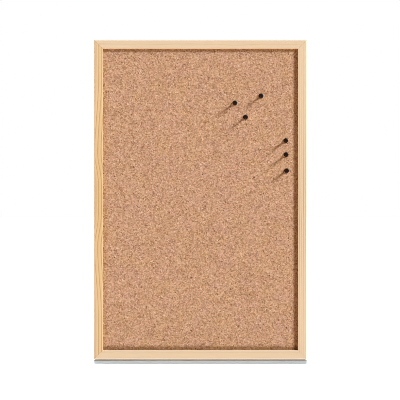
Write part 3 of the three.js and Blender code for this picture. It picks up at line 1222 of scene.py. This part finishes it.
@dataclass
class Fixings:
    """Corner nails across the mitres, points over the panel, and two toothed hangers with their nails."""

    corner_nail_arris: float = 0.08 * MM
    point_arris: float = 0.1 * MM
    hanger_arris: float = 0.12 * MM
    bend_places: Pair = (12.3 * MM, 14.1 * MM)
    bend_slack: float = 0.1 * MM
    bend_round: float = 0.4 * MM
    nail_sides: int = 24
    nail_radius: float = 0.7 * MM
    nail_point: float = 1.5 * MM
    nail_tip_radius: float = 0.06 * MM
    nail_head_radius: float = 1.7 * MM
    nail_head_height: float = 0.7 * MM
    nail_head_edge: float = 0.1 * MM
    nail_head_steps: int = 5
    nail_head_flat: float = 0.6  # of a step, left flat on the crown

    def build(self) -> None:
        """Build and dress the metal fixings."""
        fixing = SteelFinish("fixing_steel", (0.56, 0.57, 0.58), (0.34, 0.34, 0.34), 0.3).material()
        plating = SteelFinish("hanger_steel", (0.72, 0.71, 0.68), (0.5, 0.49, 0.46), 0.22).material()
        arrises = {"corner": self.corner_nail_arris, "point": self.point_arris}
        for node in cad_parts:
            arris = arrises.get(node.split("_")[0])
            if arris:
                piece = merged_copy(node, f"{node}_plated")
                soften(piece, arris)
                smooth(piece)
                fit(piece, node, fixing)
        for side in (Side.TOP, Side.LEFT):
            self.hanger(side, plating)
            for number in (1, 2):
                self.nail(f"hanger_{side.label}_nail_{number}", fixing)

    def hanger(self, side: Side, finish: Material) -> None:
        """Model one hanger: the CAD strip with its bends rounded and its stamped edges eased.

        Args:
            side: The side that it is nailed to.
            finish: Its material.
        """
        node = f"hanger_{side.label}"
        low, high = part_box(node)
        middle = (low + high) / 2
        piece = merged_copy(node, f"toothed_{node}")

        def on_bend(start: Vector, end: Vector) -> bool:
            """Tell whether an edge runs across the strip where it is bent.

            Args:
                start: One end of the edge.
                end: Its other end.

            Returns:
                Whether it does.
            """
            level = near(start.y, end.y) and near((end - start).dot(side.along), 0.0)
            place = abs((start - middle).dot(side.along))
            return level and any(abs(place - bend) < self.bend_slack for bend in self.bend_places)

        with editing(piece):
            pick(piece, Part.EDGES, on_bend)
            bpy.ops.mesh.bevel(offset=self.bend_round, segments=4, affect="EDGES")
        soften(piece, self.hanger_arris)
        smooth(piece)
        fit(piece, node, finish)

    def nail(self, node: str, finish: Material) -> None:
        """Turn one round-headed nail, its head towards the wall.

        Args:
            node: The CAD nail.
            finish: Its material.
        """
        low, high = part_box(node)
        seat = high.y - low.y - self.nail_head_height
        edge = seat + self.nail_head_edge
        stations = [
            (0.0, self.nail_tip_radius),
            (self.nail_point, self.nail_radius),
            (seat, self.nail_radius),
            (seat, self.nail_head_radius - self.nail_head_edge),
            (edge, self.nail_head_radius),
        ]
        for step in range(1, self.nail_head_steps + 1):
            angle = math.pi / 2 * step / (self.nail_head_steps + self.nail_head_flat)
            rise = (self.nail_head_height - self.nail_head_edge) * math.sin(angle)
            stations.append((edge + rise, self.nail_head_radius * math.cos(angle)))
        foot = end_of(node, TOWARDS_FRONT)
        piece = turned(f"{node}_plated", foot, TOWARDS_WALL, stations, self.nail_sides)
        smooth(piece)
        fit(piece, node, finish)


@dataclass
class PushPins:
    """Six push pins: a turned handle with a flange, a waist and a cap, and a steel needle in its bore."""

    sides: int = 48
    needle_sides: int = 24
    height: float = 14.2 * MM
    cap_radius: float = 3.2 * MM
    cap_thickness: float = 2.2 * MM
    cap_round: float = 0.7 * MM
    cap_crown: float = 0.12 * MM
    waist_radius: float = 1.65 * MM
    flange_radius: float = 4.6 * MM
    flange_thickness: float = 1.5 * MM
    flange_round: float = 0.5 * MM
    seat: float = 0.22 * MM
    bore_radius: float = 0.68 * MM
    bore_depth: float = 8.1 * MM
    needle_radius: float = 0.55 * MM
    needle_tip_radius: float = 0.02 * MM
    needle_point: float = 3.0 * MM
    needle_taper: tuple[Pair, ...] = ((1.0, 1.0), (0.55, 0.66), (0.2, 0.28))  # of the point, of the radius
    root_arris: float = 0.1 * MM
    root_share: float = 0.8  # of the radius, left at the root's end
    neck_steps: int = 18
    round_steps: int = 5
    crown_steps: tuple[float, ...] = (0.75, 0.5, 0.25)  # of the crown's radius
    smooth_below: float = 50.0

    def build(self) -> list[Object]:
        """Model one pin and copy it to the six places.

        Returns:
            The pins' pieces.
        """
        black = PlasticFinish("black_plastic", (0.012, 0.004, 0.0025), (0.015, 0.0055, 0.0035), 0.24)
        nickel = SteelFinish("needle_steel", (0.70, 0.68, 0.64), (0.52, 0.50, 0.47), 0.12)
        first = self.foot(1)
        handle = turned("handle_model", first, TOWARDS_FRONT, self.handle_stations(), self.sides)
        needle = turned("needle_model", first, TOWARDS_FRONT, self.needle_stations(), self.needle_sides)
        makes = (
            (handle, "handle", "grip", Slot.BLACK_PLASTIC, black.material()),
            (needle, "needle", "spike", Slot.NEEDLE_STEEL, nickel.material()),
        )
        for model in (handle, needle):
            smooth(model, self.smooth_below)
        pieces = []
        for number in PIN_NUMBERS:
            pin = f"pin_{number}"
            for model, part, name, slot, finish in makes:
                piece = placed_copy(model, f"{pin}_{name}", self.foot(number) - first)
                fit(piece, f"{pin}_{part}", finish, pin)
                pieces.append(piece)
        for model in (handle, needle):
            bpy.data.objects.remove(model)
        return pieces

    def foot(self, number: int) -> Vector:
        """Where a pin's axis meets the underside of its flange."""
        return end_of(f"pin_{number}_handle", TOWARDS_WALL)

    def rounding(self, inner: Pair, outer: Pair) -> list[Pair]:
        """Stations along a quarter ellipse.

        Args:
            inner: Height and radius where it starts, square to the axis.
            outer: Height and radius where it ends, along the axis.

        Returns:
            The stations, both ends among them.
        """
        made = [inner]
        for step in range(1, self.round_steps + 1):
            angle = math.pi / 2 * step / self.round_steps
            height = outer[0] + (inner[0] - outer[0]) * math.cos(angle)
            radius = inner[1] + (outer[1] - inner[1]) * math.sin(angle)
            made.append((height, radius))
        return made

    def handle_stations(self) -> list[Pair]:
        """Lay out the handle's surface from the bottom of its bore to the middle of its cap.

        Returns:
            The stations.
        """
        foot, flange_top = -self.seat, self.flange_thickness
        shoulder = self.flange_radius - self.flange_round
        cap_edge = self.cap_radius - self.cap_round
        cap_base, crown_rim = self.height - self.cap_thickness, self.height - self.cap_crown
        made = [(self.bore_depth, self.bore_radius), (foot, self.bore_radius)]
        made += self.rounding((foot, shoulder), (foot + self.flange_round, self.flange_radius))
        upper = self.rounding((flange_top, shoulder), (flange_top - self.flange_round, self.flange_radius))
        made += reversed(upper)
        # The neck's curve is pulled in until its middle is the waist
        pull = (8 * self.waist_radius - shoulder - cap_edge) / 6
        for step in range(1, self.neck_steps):
            share = step / self.neck_steps
            rest = 1.0 - share
            radius = rest**3 * shoulder + share**3 * cap_edge + 3 * rest * share * pull
            rise = 3 * rest * share**2 + share**3
            made.append((flange_top + (cap_base - flange_top) * rise, radius))
        made += self.rounding((cap_base, cap_edge), (cap_base + self.cap_round, self.cap_radius))
        top = self.rounding((crown_rim, cap_edge), (self.height - self.cap_round, self.cap_radius))
        made += reversed(top)
        made += [(self.height - self.cap_crown * share**2, cap_edge * share) for share in self.crown_steps]
        return made

    def needle_stations(self) -> list[Pair]:
        """Lay out the needle's surface from its root in the handle to its tip.

        Returns:
            The stations.
        """
        low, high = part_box("pin_1_needle")
        flange = self.foot(1).y
        root, tip = flange - low.y, flange - high.y
        made = [(root, self.needle_radius * self.root_share), (root - self.root_arris, self.needle_radius)]
        made += [(tip + self.needle_point * up, self.needle_radius * out) for up, out in self.needle_taper]
        return made + [(tip, self.needle_tip_radius)]


@dataclass(frozen=True)
class Lamp:
    """A distant light, as bright as it makes a white surface, from black at 0 to white at 1."""

    name: str
    towards: Colour
    share: float
    angle: float  # that it spans, in degrees
    faced: Vector | None = None  # the way that the surface faces, if not to the light
    tint: Colour = WHITE
    distance: float = 3.0

    def build(self, middle: Vector) -> Object:
        """Add the light.

        Args:
            middle: The board's middle.

        Returns:
            The light.
        """
        way = Vector(self.towards).normalized()
        lamp = bpy.data.lights.new(self.name, "SUN")
        lamp.energy = math.pi * self.share / (way.dot(self.faced) if self.faced else 1.0)
        lamp.angle = math.radians(self.angle)
        lamp.color = self.tint
        light = bpy.data.objects.new(self.name, lamp)
        light.rotation_euler = way.to_track_quat("Z", "Y").to_euler()
        light.location = middle + way * self.distance
        bpy.context.scene.collection.objects.link(light)
        return light


@dataclass
class Studio:
    """Camera, lights, pale floor and white surroundings."""

    board: BoardBox
    distance: float = 2.5
    view_width: float = 0.7505
    aim_shift: Pair = (-0.75 * MM, -0.84 * MM)
    pixel_filter: float = 0.9  # narrow, because the cork's grain is as fine as the picture
    wash_lean: float = 5.7
    wash_spread: float = 0.46
    surround_front: float = 0.15
    surround_behind: float = 0.42
    surround_turn: float = 0.15
    floor_size: float = 40.0
    floor_gap: float = 2.2 * MM
    floor_seen: Colour = (0.485, 0.497, 0.475)
    # painted contact shadow colour, reached within contact_reach of the board
    floor_contact: Colour = (0.175, 0.16, 0.135)
    contact_reach: float = 12.0 * MM
    floor_bounce: Colour = (0.02, 0.02, 0.02)

    def build(self) -> None:
        """Set the studio up."""
        scene = bpy.context.scene
        scene.view_settings.view_transform = "Standard"
        scene.view_settings.look = "None"
        scene.cycles.filter_width = self.pixel_filter
        scene.cycles.denoising_prefilter = "NONE"
        self.camera()
        self.world()
        floor = self.floor()
        others = self.linked("rim_receivers", [floor], Link.ALL_BUT)
        alone = self.linked("wash_receivers", [floor], Link.ALONE)
        receivers = {"rim": others, "wash_left": alone, "wash_right": alone}
        for lamp in self.lamps():
            light = lamp.build(self.board.middle)
            if lamp.name in receivers:
                light.light_linking.receiver_collection = receivers[lamp.name]

    def lamps(self) -> list[Lamp]:
        """Choose a cool key and a warm fill for the face, lights for sides and back, and the floor's wash.

        Returns:
            The lights.
        """
        lean, spread = (math.tan(math.radians(angle)) for angle in (self.wash_lean, self.wash_spread))
        cool, warm = (0.776, 0.879, 1.0), (1.0, 0.76, 0.48)
        return [
            Lamp("key", (0.72, -0.41, 0.56), share=0.696, angle=12.0, faced=TOWARDS_FRONT, tint=cool),
            Lamp("fill", (-0.12, -0.62, -0.74), share=0.425, angle=50.0, faced=TOWARDS_FRONT, tint=warm),
            Lamp("rim", (-0.99, 0.07, 0.12), share=0.64, angle=8.0),
            Lamp("glow", (0.0, 0.0, -1.0), share=0.5, angle=20.0),
            Lamp("back", (-0.30, 0.90, 0.32), share=0.45, angle=20.0, faced=TOWARDS_WALL),
            Lamp("wash_left", (-spread, lean, 1.0), share=2.6, angle=0.6, faced=UPWARDS),
            Lamp("wash_right", (spread, lean, 1.0), share=2.6, angle=0.6, faced=UPWARDS),
        ]

    def camera(self) -> None:
        """Add the camera, square to the board at half its height."""
        lens = bpy.data.cameras.new("camera")
        lens.sensor_width = 36.0
        lens.lens = lens.sensor_width * self.distance / self.view_width
        lens.clip_end = 200.0
        camera = bpy.data.objects.new("camera", lens)
        middle = self.board.middle
        across, up = self.aim_shift
        camera.location = (middle.x + across, self.board.low.y - self.distance, middle.z + up)
        camera.rotation_euler = (math.pi / 2, 0.0, 0.0)
        bpy.context.scene.collection.objects.link(camera)
        bpy.context.scene.camera = camera

    def linked(self, name: str, pieces: list[Object], link: Link) -> Collection:
        """Collect the objects that a light deals with, or leaves out.

        Args:
            name: The new collection's name.
            pieces: The objects.
            link: Which of the two.

        Returns:
            The collection for the light.
        """
        made = bpy.data.collections.new(name)
        for piece in pieces:
            made.objects.link(piece)
        for entry in made.collection_objects:
            entry.light_linking.link_state = link.value
        return made

    def spare(self, pieces: list[Object]) -> None:
        """Keep the fill from giving small pieces a second shadow."""
        fill = bpy.data.objects["fill"]
        fill.light_linking.blocker_collection = self.linked("fill_blockers", pieces, Link.ALL_BUT)

    def floor(self) -> Object:
        """Add the pale floor that the board stands on.

        Returns:
            The floor.
        """
        bpy.ops.object.select_all(action="DESELECT")
        place = (self.board.middle.x, 0.0, self.board.low.z - self.floor_gap)
        bpy.ops.mesh.primitive_plane_add(size=self.floor_size, location=place)
        floor = settle(bpy.context.object, "floor")
        floor.visible_shadow = False  # the fill comes from below, as from a lit table
        surface = bpy.data.materials.new("pale_floor")
        surface.use_nodes = True
        graph = Graph(surface.node_tree)
        graph.tree.nodes.clear()
        # Painted contact shadow: the floor's colour darkens where ambient occlusion finds the board close
        inputs = {"Distance": self.contact_reach}
        open_share = graph.node("ShaderNodeAmbientOcclusion", inputs, samples=32).outputs["AO"]
        shade = graph.mix(open_share, self.floor_contact, self.floor_seen)
        seen = graph.node("ShaderNodeBsdfDiffuse", {"Color": shade})
        bounce = graph.node("ShaderNodeBsdfDiffuse", {"Color": self.floor_bounce})
        graph.node("ShaderNodeOutputMaterial", {"Surface": graph.by_camera(bounce, seen)})
        floor.data.materials.append(surface)
        return floor

    def world(self) -> None:
        """Surround the board with white, which lights it from behind more than from the front."""
        world = bpy.data.worlds.new("studio")
        bpy.context.scene.world = world
        world.use_nodes = True
        graph = Graph(world.node_tree)
        graph.tree.nodes.clear()
        way = graph.node("ShaderNodeTexCoord").outputs["Generated"]
        depth = graph.node("ShaderNodeSeparateXYZ", {0: way}).outputs[1]
        turn = (-self.surround_turn, self.surround_turn)
        strength = graph.remap(depth, turn, (self.surround_front, self.surround_behind))
        dim = graph.node("ShaderNodeBackground", {"Color": WHITE, "Strength": strength})
        seen = graph.node("ShaderNodeBackground", {"Color": WHITE, "Strength": 1.0})
        graph.node("ShaderNodeOutputWorld", {"Surface": graph.by_camera(dim, seen)})


def main() -> None:
    """Set up the studio, then build the pinboard from its frame to its pins."""
    logging.basicConfig(level=logging.INFO, format="%(name)s: %(message)s")
    board = BoardBox.from_rails()
    studio = Studio(board)
    studio.build()
    PineFrame(board).build()
    Panel().build()
    Fixings().build()
    studio.spare(PushPins().build())


if __name__ == "__main__":
    main()
